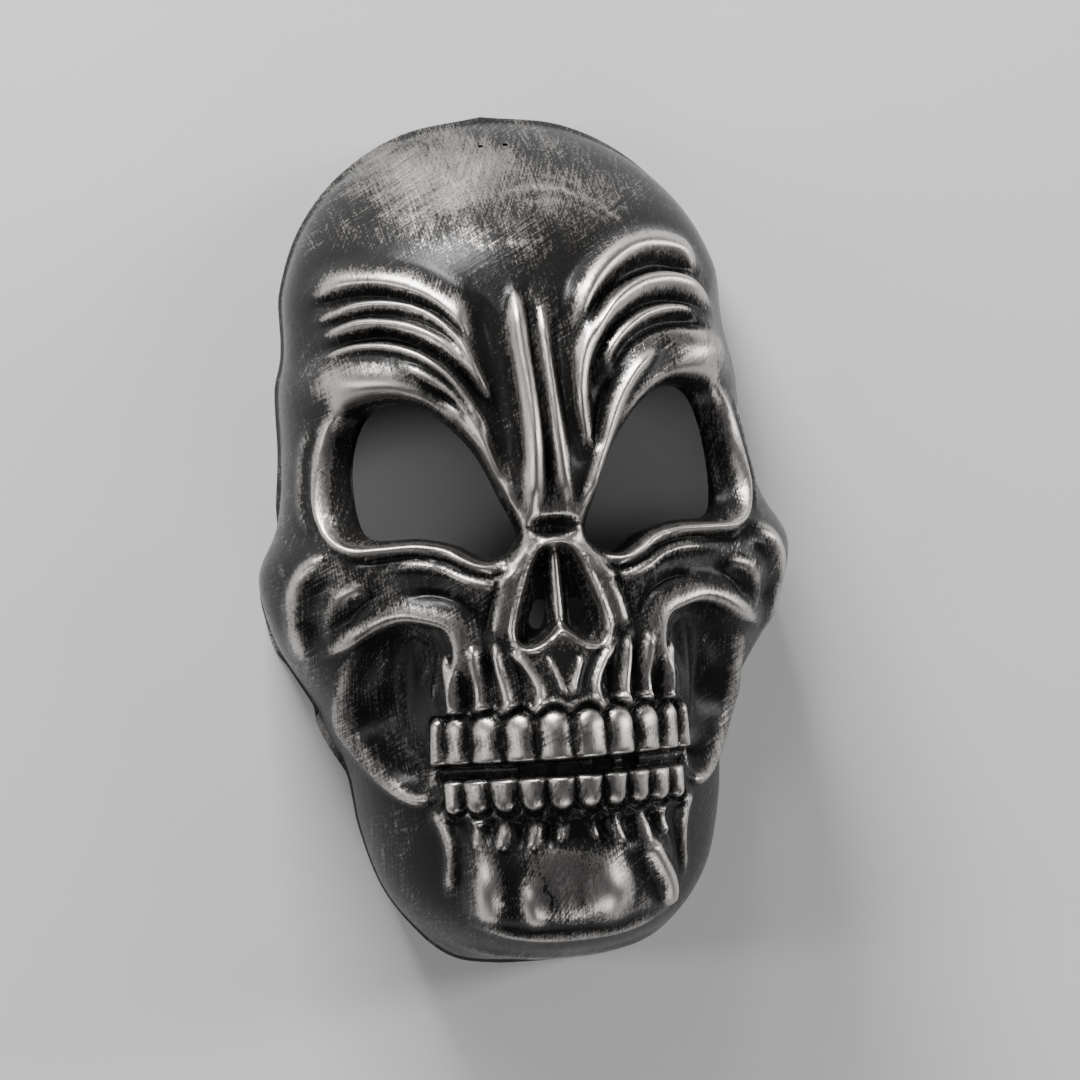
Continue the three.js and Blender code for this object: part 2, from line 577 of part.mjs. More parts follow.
export default group;
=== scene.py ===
import math
import bpy
import numpy as np
from mathutils import Matrix, Vector


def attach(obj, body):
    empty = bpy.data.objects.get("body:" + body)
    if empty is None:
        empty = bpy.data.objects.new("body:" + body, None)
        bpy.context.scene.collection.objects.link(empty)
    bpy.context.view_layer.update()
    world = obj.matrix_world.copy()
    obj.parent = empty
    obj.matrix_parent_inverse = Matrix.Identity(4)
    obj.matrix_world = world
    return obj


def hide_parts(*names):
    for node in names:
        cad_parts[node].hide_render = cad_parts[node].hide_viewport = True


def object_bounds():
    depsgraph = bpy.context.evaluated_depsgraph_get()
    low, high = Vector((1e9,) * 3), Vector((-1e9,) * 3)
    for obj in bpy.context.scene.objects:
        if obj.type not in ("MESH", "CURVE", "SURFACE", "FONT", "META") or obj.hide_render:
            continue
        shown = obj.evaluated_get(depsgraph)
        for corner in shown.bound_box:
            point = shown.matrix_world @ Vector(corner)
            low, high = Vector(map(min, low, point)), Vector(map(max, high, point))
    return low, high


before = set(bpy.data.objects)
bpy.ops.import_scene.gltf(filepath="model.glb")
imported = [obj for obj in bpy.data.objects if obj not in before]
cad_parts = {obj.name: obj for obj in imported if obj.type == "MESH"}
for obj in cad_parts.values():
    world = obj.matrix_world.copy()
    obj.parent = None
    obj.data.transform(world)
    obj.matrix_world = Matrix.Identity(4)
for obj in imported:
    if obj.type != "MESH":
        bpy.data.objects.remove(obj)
cad_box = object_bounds()

# A rigid skull mask of thin black plastic, dry-brushed with silver paint, lying face up on its rim.
# Shapes are worked out in millimetres in the frame's axes: +Y to the forehead, +Z out of the face.
MM = 0.001

# Sizes of the form, those that the solid has too and the finer ones of this surface alone
HALF_WIDTH = 80.0
HALF_HEIGHT = 131.0
DEPTH = 86.0
WALL = 2.0
RELIEF = 10.0
RIM_LIP = 1.2
RIM_LIP_HEIGHT = 3.0
LACE_HOLE = 1.8
EYE_ROLL_DEPTH = 7.0
EYE_ROLL_WIDTH = 5.0
NOSE_PIT_DEPTH = 6.0
NOSE_PIT_SLOPE = 3.2
NOSE_EDGE_RISE = 1.3
NOSE_EDGE_WIDTH = 1.4
CHIN_RISE = 2.0
CHIN_SLOPE = 5.0
NOSTRIL_WIDTH = 4.6
NOSTRIL_LENGTH = 9.6
CHEEK_HOLLOW_DEPTH = 9.0
TOOTH_RISE = 3.0
GUM_ARCH = 1.2
GUM_RISE = 1.1
GUM_GROOVE = 1.0
UPPER_TOOTH_HEIGHT = 14.5
LOWER_TOOTH_HEIGHT = 10.5
MOUTH_BAND_HEIGHT = 5.0
MOUTH_BAND_DEPTH = 3.0
MOUTH_BAND_EDGE = 0.3
MOUTH_BAND_SLOPE = 0.8
MOUTH_BAND_END_SLOPE = 3.0
MOUTH_BAR_RISE = 1.3
MOUTH_BAR_INSET = 0.7
MOUTH_BAR_SLOPE = 0.6
MOUTH_SLOT_HEIGHT = 3.2

# Details: gums are placed in half widths of a tooth, slopes of gums and teeth are in mm, the rest are shares
GUM_RIDGE_AT, GUM_RIDGE_REACH = 1.5, 0.26
GUM_GROOVE_AT, GUM_GROOVE_REACH = 1.12, 0.2
GUM_START = 0.4
GUM_SLOPE = 2
TOOTH_START, TOOTH_START_SLOPE = 0.5, 0.7
FOLD_FADE = 0.22
FOLD_OVERRUN = 0.03
SEPTUM_HALF_WIDTH = 0.045
SEPTUM_RISE = 0.6
CHEEK_HOLLOW_SLOPE = 1.1
SLOT_CORNER = 0.3
STEEPEST_SLOPE = 1.2
FLAT_RIM_SHARE = 0.1

# Fineness of the chart of heights and of the mesh
CHART_STEP = 0.4
CHART_BLUR = 0.35
SURFACE_ERROR = 0.1
LONGEST_EDGE = 3.4
SHORTEST_EDGE = 1.0
LACE_EDGE = 0.3
SLOT_EDGE = 0.7
EYE_EDGE = 1.4
EDGE_GROWTH = 0.6
HALVINGS = 7
EDGE_SNAP_SHARE = 0.3
CROSSING_STEPS = 10
NET_COLUMNS = 36
ROWS_TO_A_SECTION = 4
CURVE_STEPS = 6

# Cross sections from chin to forehead: rim x, rim y, crown y, crown z, flare, round. Shares of the half
# width, half height, half height, depth and half width; round is the power that squares the arch.
SECTIONS = np.array([
    (0, -1, -1, 0, 0, 1),
    (0.175, -0.996, -0.989, 0.3, 0, 1),
    (0.34, -0.973, -0.966, 0.65, 0.03, 1),
    (0.475, -0.9, -0.9, 0.885, 0.06, 1),
    (0.59, -0.794, -0.78, 0.965, 0.085, 1.05),
    (0.66, -0.656, -0.62, 0.99, 0.09, 1.1),
    (0.695, -0.52, -0.465, 1, 0.095, 1.15),
    (0.79, -0.375, -0.32, 0.975, 0.09, 1.12),
    (0.925, -0.215, -0.168, 0.955, 0.11, 1),
    (0.955, -0.06, -0.03, 0.93, 0.14, 0.95),
    (0.895, 0.076, 0.1, 0.93, 0.09, 0.92),
    (0.875, 0.245, 0.26, 0.93, 0.05, 0.92),
    (0.87, 0.443, 0.443, 0.885, 0.05, 0.92),
    (0.83, 0.61, 0.603, 0.79, 0.05, 0.92),
    (0.735, 0.763, 0.74, 0.64, 0.038, 0.94),
    (0.56, 0.886, 0.863, 0.407, 0.02, 0.97),
    (0.31, 0.97, 0.954, 0.175, 0, 1),
    (0, 1, 1, 0, 0, 1)])

# Ridges and grooves: side, rise in percent of the relief, half width to the left and right of the path in
# percent of the half width, and the path in percent of the half width and half height
FOLDS = [
    # brow wrinkles on the right
    ("one", 42, (9, 6), [(14, 46), (21, 56), (30, 62), (41, 66), (52.5, 67), (63, 65), (72, 60)]),
    ("one", -26, (4.5, 4), [(18, 45), (26, 54), (37.5, 59.5), (48, 62), (58, 62.5), (68, 60)]),
    ("one", 46, (5, 7), [(16, 20), (13, 30), (13.8, 37.4), (17, 44), (25, 51), (35, 55.5), (46, 58),
                         (57.5, 58), (67.5, 55.5), (76, 51)]),
    ("one", -20, (1.8, 1.8), [(17.5, 31), (19, 38), (24, 44.5), (32, 49.5), (43, 53), (55, 54), (67, 52)]),
    ("one", 15, (2.4, 3), [(22, 38), (29, 44.5), (38, 49), (48, 51.5), (59, 52), (69, 50)]),
    ("one", -26, (4, 4), [(27, 38), (35, 44), (46, 47.8), (58, 48.6), (71, 46.5)]),
    ("one", 36, (4, 5), [(12, 7), (16.3, 14), (22.5, 23.5), (29, 32), (37, 38.6), (47, 43)]),
    ("one", -20, (2.6, 2.6), [(18.5, 20), (21, 29), (27, 37)]),
    # brow wrinkles on the left
    ("one", 27, (4, 11), [(-24, 47), (-31, 54), (-40, 59), (-52, 62), (-66, 62.5), (-80, 59.5)]),
    ("one", -20, (2.6, 2.6), [(-24, 43), (-32, 51.5), (-43, 57), (-56, 59.5), (-69, 59.5), (-80, 57)]),
    ("one", 26, (2.6, 3), [(-22, 39), (-29, 47.5), (-38, 53.5), (-49, 56.4), (-62, 57), (-80, 54)]),
    ("one", -12, (1.8, 1.8), [(-23, 37), (-32, 46.5), (-43, 52), (-55, 54.6), (-67, 54.8), (-80, 52)]),
    ("one", 28, (3, 3.4), [(-18, 30), (-23, 38), (-31, 45), (-41, 49.6), (-52, 52.2), (-64, 52.8),
                           (-80, 50)]),
    ("one", -30, (3, 3), [(-21, 27), (-27, 36), (-36, 43.2), (-47, 47.8), (-60, 50), (-80, 47.4)]),
    ("one", 26, (2.4, 3.4), [(-21, 22), (-26, 31), (-33, 38.5), (-43, 44), (-54, 46.8), (-66, 47.4),
                             (-80, 45)]),
    ("one", 20, (2.6, 2.6), [(-19, 12), (-22, 20), (-27, 28), (-34, 35), (-43, 40), (-51, 43)]),
    ("one", -16, (2, 2), [(-17, 9.5), (-21, 17), (-26, 25), (-33, 32.5), (-42, 38)]),
    ("one", 20, (2.4, 3.4), [(-13.5, 7), (-18.5, 13.5), (-24.5, 22), (-31, 29.5), (-38, 34.5)]),
    # twin ridges between the brows, and the valleys beside them
    ("one", 46, (5.5, 6.5), [(-6.5, 60), (-7, 46), (-6, 30), (-6.5, 16), (-8, 5)]),
    ("one", 24, (3.4, 4.5), [(3, 56), (2.5, 45), (3.2, 28), (4.5, 16.5), (6.5, 6.5)]),
    ("one", -30, (1.7, 1.7), [(-1.4, 60), (-2, 42), (-1.2, 24), (-1, 6)]),
    ("one", -36, (8, 8), [(-23, 60), (-19, 47.3), (-16.5, 34.4), (-15.5, 23), (-15.5, 13)]),
    ("one", -30, (4.5, 4.5), [(11, 56), (8.6, 46), (8.2, 36.6), (9.2, 27.5), (11, 17)]),
    # rims of the eye sockets
    ("both", 28, (2.4, 2.8), [(11, 1.5), (19, -3), (26, -4.8), (34, -3), (41, -0.3), (51, 1), (63, 0.6),
                              (73, 0.4), (80, 3.4), (82.5, 9), (82, 16), (80, 24), (77, 30), (70, 36)]),
    ("both", 12, (1.6, 1.6), [(85, 2), (88, 9), (87, 17), (85, 25), (82, 31)]),
    ("both", -16, (1.5, 1.5), [(16, -5.6), (25, -7.4), (34, -5.6), (42, -3), (52, -1.6), (66, -2), (76, -3)]),
    ("both", 9, (2.2, 2.6), [(12, -5), (19, -8), (26, -9.4), (35, -7.6), (43, -5), (53, -3.8), (67, -4.6)]),
    # cheekbones
    ("both", 16, (4, 4), [(80, 1), (89, -4), (94, -11), (93, -19), (88, -26)]),
    ("both", -10, (3, 3), [(77, -4), (85, -8.5), (88, -15), (86, -20)]),
    ("both", 13, (4.5, 4), [(68, -7), (77, -10), (82, -15), (82, -20)]),
    ("both", -10, (2.6, 2.6), [(66, -9.5), (73, -13), (77, -18)]),
    ("both", -14, (2.2, 2.2), [(29, -24), (31.5, -17), (38, -12.6), (47, -10.6), (57, -11)]),
    ("both", 36, (11, 3.2), [(42, -40), (40, -31), (38.5, -24), (41, -18.6), (48, -16.4), (57, -15.8),
                            (67, -17.6), (77, -21), (87, -24)]),
    ("both", 16, (2, 2), [(48.5, -38), (48, -30), (47, -24.5), (51, -21), (57, -20)]),
    ("both", 14, (5, 5), [(10, 1), (16, -6), (22.5, -15.5), (25, -23)]),
    ("both", -14, (2, 2), [(22, -7.5), (26, -14), (29, -22)]),
    # roots of the upper teeth
    ("both", 24, (2.6, 3.4), [(21, -24), (14, -29), (10, -34.5), (11.9, -40.5)]),
    ("both", 28, (3.2, 3.2), [(26, -22), (24, -29), (21.6, -35), (21.5, -40.5)]),
    ("both", 26, (3, 3), [(33, -22), (31.5, -30), (31.5, -40.5)]),
    ("both", 26, (3, 3), [(44, -24), (42, -32), (40, -40.5)]),
    ("both", 22, (1.8, 1.8), [(6.5, -26.5), (3.5, -31), (0.5, -37)]),
    ("both", -22, (1.8, 1.8), [(17, -28), (16, -34), (16.5, -40)]),
    ("both", -20, (1.6, 1.6), [(28.5, -25), (27, -32), (26.3, -40)]),
    ("both", -20, (1.8, 1.8), [(38, -27), (36.5, -34), (35.5, -40)]),
    # jaw and chin
    ("both", 22, (3, 5), [(79, -30), (76.5, -40), (70, -48), (62.5, -55), (55, -58.5), (48, -58)]),
    ("both", 20, (3.6, 3.6), [(50, -60), (46, -65), (44, -72), (45, -82)]),
    ("one", 34, (6, 6), [(26, -70), (30, -75), (35, -81), (37, -88)]),
    ("one", 20, (4, 2.5), [(-40, -87), (-20, -91), (0, -91.6), (20, -90.6), (40, -87)]),
    ("both", 16, (3.2, 3.2), [(5.2, -63.5), (6, -66.5), (7, -70)]),
    ("both", 18, (3.2, 3.2), [(15, -64), (15, -67), (17, -71)]),
    ("both", 18, (3.2, 3.2), [(25.5, -64), (26, -67), (26.5, -71)]),
    ("both", 16, (2.8, 2.8), [(35, -63), (35, -66), (35.5, -70)]),
    ("one", 10, (1.4, 1.4), [(-46, -92), (-30, -95.5), (-14, -97.3), (0, -97.8), (14, -97.3), (30, -95.5),
                             (46, -92)]),
]

# Swellings and dents: side, x, y, reach across and up, tilt in degrees, rise; percents as above
MOUNDS = [
    ("one", 0, 20, 24, 30, 0, 40),
    ("one", 0, 3.4, 14, 3.2, 0, -40),
    ("one", -64, 39.5, 30, 9, -4, 46),
    ("one", 66, 41.5, 20, 9.5, -10, 46),
    ("both", 34, 46, 30, 16, 35, 18),
    ("both", 84, -6, 22, 11, 10, 36),
    ("both", 32.5, -9.5, 13, 9, 0, 14),
    ("one", 0, -44, 50, 24.5, 0, 30),
    ("both", 57, -37, 10, 20, 4, 44),
    ("one", 0, -67, 38, 6, 0, -26),
    ("both", 10.5, -67.5, 3, 4.5, 0, -22),
    ("both", 20.5, -67.5, 3, 4.5, 0, -22),
    ("both", 31, -67, 3, 4.5, 0, -20),
    ("one", -31, -79, 8, 12, 2, 34),
    ("one", -16.5, -83, 6.5, 8, 12, 22),
    ("one", 11, -81, 12, 10, 0, 34),
    ("both", 85, 48, 14, 15, 0, -24),
    ("one", -14, 72, 34, 16, 20, 10),
]

EYE_OUTLINE = [(14.5, 2.5), (20, 10), (27.5, 19.5), (35, 26), (46, 32), (58, 34.5), (70, 32), (77, 23),
               (77, 10), (70, 4), (52, 2.8), (38, 0.4), (27, -3), (18, -1.8)]
CHEEK_HOLLOW_OUTLINE = [(56, -14.5), (69, -17), (77.5, -24), (79, -33), (76, -42), (69, -50), (62, -56),
                        (54, -58), (49, -54), (46.5, -44), (45, -36), (42, -29), (43, -20)]
NOSE_RIGHT_OUTLINE = [(0, 0), (6, -1), (10, -4.5), (14, -10.5), (18, -18), (18.5, -22), (15, -24.8),
                      (9, -24.5), (4, -22.5), (0, -21)]
CHIN_RIGHT_OUTLINE = [(0, -64), (25, -64), (38, -67), (43, -75), (42, -84), (32, -89), (0, -91)]

# Teeth and openings, in the same percents: (place, width) across
MOUTH_LINE = -52.3
UPPER_TEETH = [(6, 11.5), (18, 11), (29.8, 11), (40, 8.3), (46.8, 5.6)]
LOWER_TEETH = [(5, 9.8), (15, 9.8), (25, 9.8), (34.6, 9), (42.4, 6.2)]
MOUTH_SLOTS = [(-15.5, 10), (-2, 9.5), (12, 9.5), (24, 8)]
NOSTRIL = (8.3, -16.3)
NOSTRIL_TILT = 20
LACE_HOLES = [(0.926, 0.46), (0.926, 0.54), (0.365, 0.045), (0.341, 0.045), (0.365, 0.955), (0.341, 0.955)]


def smooth(value):
    value = np.clip(value, 0, 1)
    return value * value * (3 - 2 * value)


def bump(q):
    return np.where(np.abs(q) < 1, (1 - q * q) ** 2, 0)


def place(path):
    return np.array(path, float) * (HALF_WIDTH / 100, HALF_HEIGHT / 100)


def mirrored(path):
    return [(-x, y) for x, y in path]


def spline(points, spot):
    """Smooth curve through rows of numbers, at places counted in rows."""
    rows = np.vstack([2 * points[0] - points[1], points, 2 * points[-1] - points[-2]])
    k = np.clip(spot.astype(int), 0, len(points) - 2)
    f = (spot - k)[:, None]
    a, b, c, d = (rows[k + i] for i in range(4))
    return b + 0.5 * f * (c - a + f * (2 * a - 5 * b + 4 * c - d + f * (3 * (b - c) + d - a)))


def curve_points(path, closed=False):
    points = place(path)
    if closed:
        count = len(points)
        looped = np.vstack([points[-2:], points, points[:3]])
        return spline(looped, 2 + np.linspace(0, count, count * CURVE_STEPS + 1))
    return spline(points, np.linspace(0, len(points) - 1, (len(points) - 1) * CURVE_STEPS + 1))


def nearest(points, x, y):
    """Distance to straight pieces, how far along them the nearest place is, and if it is to the left."""
    best = np.full(x.shape, np.inf)
    along = np.zeros(x.shape)
    left = np.zeros(x.shape, bool)
    count = len(points) - 1
    for i in range(count):
        (ax, ay), (bx, by) = points[i], points[i + 1]
        dx, dy = bx - ax, by - ay
        f = np.clip(((x - ax) * dx + (y - ay) * dy) / (dx * dx + dy * dy), 0, 1)
        distance = np.hypot(x - ax - f * dx, y - ay - f * dy)
        closer = distance < best
        best = np.where(closer, distance, best)
        along = np.where(closer, (i + f) / count, along)
        left = np.where(closer, dx * (y - ay) > dy * (x - ax), left)
    return best, along, left


def outline_distance(points, x, y):
    """Distance to a closed outline, negative inside it."""
    inside = np.zeros(x.shape, bool)
    for (ax, ay), (bx, by) in zip(points, points[1:]):
        if ay != by:
            inside ^= ((ay > y) != (by > y)) & (x < ax + (y - ay) / (by - ay) * (bx - ax))
    distance, _, _ = nearest(points, x, y)
    return np.where(inside, -distance, distance)


class Chart:
    """A height chart over the plan of the mask, read between its points."""

    def __init__(self):
        self.x = np.arange(-1.2 * HALF_WIDTH, 1.2 * HALF_WIDTH, CHART_STEP)
        self.y = np.arange(-1.1 * HALF_HEIGHT, 1.1 * HALF_HEIGHT, CHART_STEP)
        self.grid_x, self.grid_y = np.meshgrid(self.x, self.y)

    def window(self, points, reach):
        low, high = points.min(0) - reach, points.max(0) + reach
        rows = slice(*np.searchsorted(self.y, (low[1], high[1])))
        columns = slice(*np.searchsorted(self.x, (low[0], high[0])))
        return (rows, columns), self.grid_x[rows, columns], self.grid_y[rows, columns]

    def read(self, values, x, y):
        column = np.clip((x - self.x[0]) / CHART_STEP, 0, len(self.x) - 1.001)
        row = np.clip((y - self.y[0]) / CHART_STEP, 0, len(self.y) - 1.001)
        i, j = row.astype(int), column.astype(int)
        fi, fj = row - i, column - j
        low = values[i, j] * (1 - fj) + values[i, j + 1] * fj
        high = values[i + 1, j] * (1 - fj) + values[i + 1, j + 1] * fj
        return low * (1 - fi) + high * fi


def both_sides(side, path):
    return [path, mirrored(path)] if side == "both" else [path]


def add_fold(chart, values, side, rise, wide, path):
    for one_path in both_sides(side, path):
        points = curve_points(one_path)
        window, x, y = chart.window(points, max(wide) / 100 * HALF_WIDTH)
        distance, along, left = nearest(points, x, y)
        mirrored_fold = one_path is not path
        half = np.where(left ^ mirrored_fold, wide[0], wide[1]) / 100 * HALF_WIDTH
        ends = smooth((along + FOLD_OVERRUN) / FOLD_FADE) * smooth((1 + FOLD_OVERRUN - along) / FOLD_FADE)
        half = half * (0.5 + 0.5 * ends)
        values[window] += rise / 100 * RELIEF * bump(distance / half) * ends


def add_mound(chart, values, side, x, y, reach_x, reach_y, tilt, rise):
    for sign in ((1, -1) if side == "both" else (1,)):
        dx = chart.grid_x - sign * x / 100 * HALF_WIDTH
        dy = chart.grid_y - y / 100 * HALF_HEIGHT
        angle = math.radians(tilt * sign)
        across = (dx * math.cos(angle) + dy * math.sin(angle)) / (reach_x / 100 * HALF_WIDTH)
        up = (dy * math.cos(angle) - dx * math.sin(angle)) / (reach_y / 100 * HALF_HEIGHT)
        values += rise / 100 * RELIEF * bump(np.hypot(across, up))


def tooth_relief(chart):
    """Upper and lower teeth as upright half rounds with arched gums, and the sunk band between them."""
    line = MOUTH_LINE / 100 * HALF_HEIGHT
    total = np.zeros(chart.grid_x.shape)
    rows = ((UPPER_TEETH, UPPER_TOOTH_HEIGHT, 1), (LOWER_TEETH, LOWER_TOOTH_HEIGHT, -1))
    for teeth, tall, up_down in rows:
        up = (chart.grid_y - line) * up_down - MOUTH_BAND_HEIGHT / 2
        q = np.full(up.shape, np.inf)
        for x, wide in teeth:
            half = wide / 200 * HALF_WIDTH
            across = np.abs(chart.grid_x) - x / 100 * HALF_WIDTH
            arch = np.maximum(up - (tall - half * GUM_ARCH), 0) / GUM_ARCH
            q = np.minimum(q, np.hypot(across, arch) / half)
        body = TOOTH_RISE * np.sqrt(np.clip(1 - q * q, 0, 1))
        ridge = GUM_RISE * bump((q - GUM_RIDGE_AT) / GUM_RIDGE_REACH)
        groove = GUM_GROOVE * bump((q - GUM_GROOVE_AT) / GUM_GROOVE_REACH)
        gums = (ridge - groove) * smooth((up - GUM_START * tall) / GUM_SLOPE)
        total += (body + gums) * smooth((up + TOOTH_START) / TOOTH_START_SLOPE)
    middle_gap = np.abs(chart.grid_y - line)
    row_end = (UPPER_TEETH[-1][0] + UPPER_TEETH[-1][1] / 2) / 100 * HALF_WIDTH
    in_band = smooth((MOUTH_BAND_HEIGHT / 2 + MOUTH_BAND_EDGE - middle_gap) / MOUTH_BAND_SLOPE)
    in_band = in_band * smooth((row_end - np.abs(chart.grid_x)) / MOUTH_BAND_END_SLOPE)
    in_bar = smooth((MOUTH_BAND_HEIGHT / 2 - MOUTH_BAR_INSET - middle_gap) / MOUTH_BAR_SLOPE)
    return total - (MOUTH_BAND_DEPTH - MOUTH_BAR_RISE * in_bar) * in_band


def pit_relief(chart):
    total = np.zeros(chart.grid_x.shape)
    for path in both_sides("both", CHEEK_HOLLOW_OUTLINE):
        points = curve_points(path, closed=True)
        window, x, y = chart.window(points, 1)
        inside = -outline_distance(points, x, y)
        total[window] -= CHEEK_HOLLOW_DEPTH * smooth(inside / (CHEEK_HOLLOW_DEPTH * CHEEK_HOLLOW_SLOPE))
    for points in eye_curves:
        window, x, y = chart.window(points, EYE_ROLL_WIDTH)
        outside = np.maximum(outline_distance(points, x, y), 0)
        total[window] -= EYE_ROLL_DEPTH * np.clip(1 - outside / EYE_ROLL_WIDTH, 0, 1) ** 2
    window, x, y = chart.window(nose_curve, 3)
    inside = -outline_distance(nose_curve, x, y)
    septum = bump(x / (SEPTUM_HALF_WIDTH * HALF_WIDTH)) * SEPTUM_RISE
    total[window] -= NOSE_PIT_DEPTH * smooth(inside / NOSE_PIT_SLOPE) * (1 - septum)
    total[window] += NOSE_EDGE_RISE * bump(inside / NOSE_EDGE_WIDTH)
    window, x, y = chart.window(chin_curve, 1)
    total[window] += CHIN_RISE * smooth(-outline_distance(chin_curve, x, y) / CHIN_SLOPE)
    return total


eye_curves = [curve_points(path, closed=True) for path in both_sides("both", EYE_OUTLINE)]
nose_curve = curve_points(NOSE_RIGHT_OUTLINE + mirrored(NOSE_RIGHT_OUTLINE[-2:0:-1]), closed=True)
chin_curve = curve_points(CHIN_RIGHT_OUTLINE + mirrored(CHIN_RIGHT_OUTLINE[-2:0:-1]), closed=True)
chart = Chart()


def make_relief():
    values = np.zeros(chart.grid_x.shape)
    for fold in FOLDS:
        add_fold(chart, values, *fold)
    for mound in MOUNDS:
        add_mound(chart, values, *mound)
    return values + tooth_relief(chart) + pit_relief(chart)


def blurred(values, reach):
    """Soft average over about the given reach, in mm."""
    half = int(3 * reach / CHART_STEP)
    steps = np.arange(-half, half + 1) * CHART_STEP
    weights = np.exp(-0.5 * (steps / reach) ** 2)
    weights /= weights.sum()
    padded = np.pad(values, half, mode="edge")
    rows = np.apply_along_axis(lambda line: np.convolve(line, weights, "valid"), 1, padded)
    return np.apply_along_axis(lambda line: np.convolve(line, weights, "valid"), 0, rows)


relief = blurred(make_relief(), CHART_BLUR)
slope_y, slope_x = np.gradient(relief, CHART_STEP)


def base_points(along, turn):
    """The smooth form under the relief."""
    spot = np.clip(along, 0, 1) * (len(SECTIONS) - 1)
    rim_x, rim_y, crown_y, crown_z, flare, power = spline(SECTIONS, spot).T
    side = np.sign(np.cos(turn))
    up = np.abs(np.sin(turn)) ** power
    across = np.abs(np.cos(turn)) ** power
    x = side * HALF_WIDTH * (rim_x * across + flare * np.sin(math.pi * up))
    y = HALF_HEIGHT * (rim_y + (crown_y - rim_y) * up)
    return np.stack([x, y, DEPTH * crown_z * up], 1)


def base_normals(along, turn, points):
    step = 0.002
    v = np.clip(along, 2 * step, 1 - 2 * step)
    t = np.clip(turn, 2 * step, math.pi - 2 * step)
    along_mask = base_points(v + step, t) - base_points(v - step, t)
    around_arch = base_points(v, t + step) - base_points(v, t - step)
    normals = np.cross(along_mask, around_arch)
    normals /= np.linalg.norm(normals, axis=1)[:, None]
    normals[:, 2] *= smooth(points[:, 2] / (FLAT_RIM_SHARE * DEPTH))
    return normals / np.linalg.norm(normals, axis=1)[:, None]


def slot_distance(x, y, wide, tall):
    corner = SLOT_CORNER * tall
    dx = np.abs(x) - wide / 2 + corner
    dy = np.abs(y) - tall / 2 + corner
    return np.hypot(np.maximum(dx, 0), np.maximum(dy, 0)) + np.minimum(np.maximum(dx, dy), 0) - corner


lace_centres = base_points(*(np.array(LACE_HOLES).T * [[1], [math.pi]]))
eye_distance = np.minimum(*(outline_distance(points, chart.grid_x, chart.grid_y) for points in eye_curves))


def hole_distances(base):
    """Distance to the nearest hole, negative inside it, and the longest edge wanted there."""
    x, y = base[:, 0], base[:, 1]
    found = [(chart.read(eye_distance, x, y), EYE_EDGE)]
    for side in (-1, 1):
        tilt = math.radians(NOSTRIL_TILT * side)
        dx = x - side * NOSTRIL[0] / 100 * HALF_WIDTH
        dy = y - NOSTRIL[1] / 100 * HALF_HEIGHT
        across = dx * math.cos(tilt) + dy * math.sin(tilt)
        up = dy * math.cos(tilt) - dx * math.sin(tilt)
        straight = (NOSTRIL_LENGTH - NOSTRIL_WIDTH) / 2
        distance = np.hypot(across, np.maximum(np.abs(up) - straight, 0)) - NOSTRIL_WIDTH / 2
        found.append((distance, SLOT_EDGE))
    for slot_x, wide in MOUTH_SLOTS:
        dx = x - slot_x / 100 * HALF_WIDTH
        dy = y - MOUTH_LINE / 100 * HALF_HEIGHT
        found.append((slot_distance(dx, dy, wide / 100 * HALF_WIDTH, MOUTH_SLOT_HEIGHT), SLOT_EDGE))
    for centre in lace_centres:
        found.append((np.linalg.norm(base - centre, axis=1) - LACE_HOLE / 2, LACE_EDGE))
    hole = np.min([distance for distance, _ in found], axis=0)
    edge = np.min([fine + EDGE_GROWTH * np.abs(distance) for distance, fine in found], axis=0)
    return hole, np.minimum(edge, LONGEST_EDGE)


class Net:
    """Places of the shell: along and turn on the form, outer and inner points, distance to the holes."""

    def __init__(self, along, turn):
        self.along, self.turn = along, turn
        base = base_points(along, turn)
        normal = base_normals(along, turn, base)
        rise = chart.read(relief, base[:, 0], base[:, 1])
        slope = np.hypot(*(chart.read(values, base[:, 0], base[:, 1]) for values in (slope_x, slope_y)))
        slope = np.minimum(slope * np.maximum(normal[:, 2], 0), STEEPEST_SLOPE)
        lip = RIM_LIP * bump(base[:, 2] / RIM_LIP_HEIGHT)
        self.base = base
        self.outer = base + normal * (rise + lip)[:, None]
        self.inner = base + normal * (rise - WALL * np.hypot(1, slope))[:, None]
        self.hole, self.edge = hole_distances(base)

    FIELDS = ("along", "turn", "base", "outer", "inner", "hole", "edge")

    def extend(self, other):
        for field in self.FIELDS:
            setattr(self, field, np.concatenate([getattr(self, field), getattr(other, field)]))

    def put(self, index, other):
        for field in self.FIELDS:
            getattr(self, field)[index] = getattr(other, field)

    def pick(self, index):
        copy = object.__new__(Net)
        for field in self.FIELDS:
            setattr(copy, field, getattr(self, field)[index])
        return copy

    def between(self, a, b, f):
        is_end_a = (self.along[a] == 0) | (self.along[a] == 1)
        is_end_b = (self.along[b] == 0) | (self.along[b] == 1)
        turn = self.turn[a] * (1 - f) + self.turn[b] * f
        turn = np.where(is_end_a, self.turn[b], turn)
        turn = np.where(is_end_b, self.turn[a], turn)
        return Net(self.along[a] * (1 - f) + self.along[b] * f, turn)


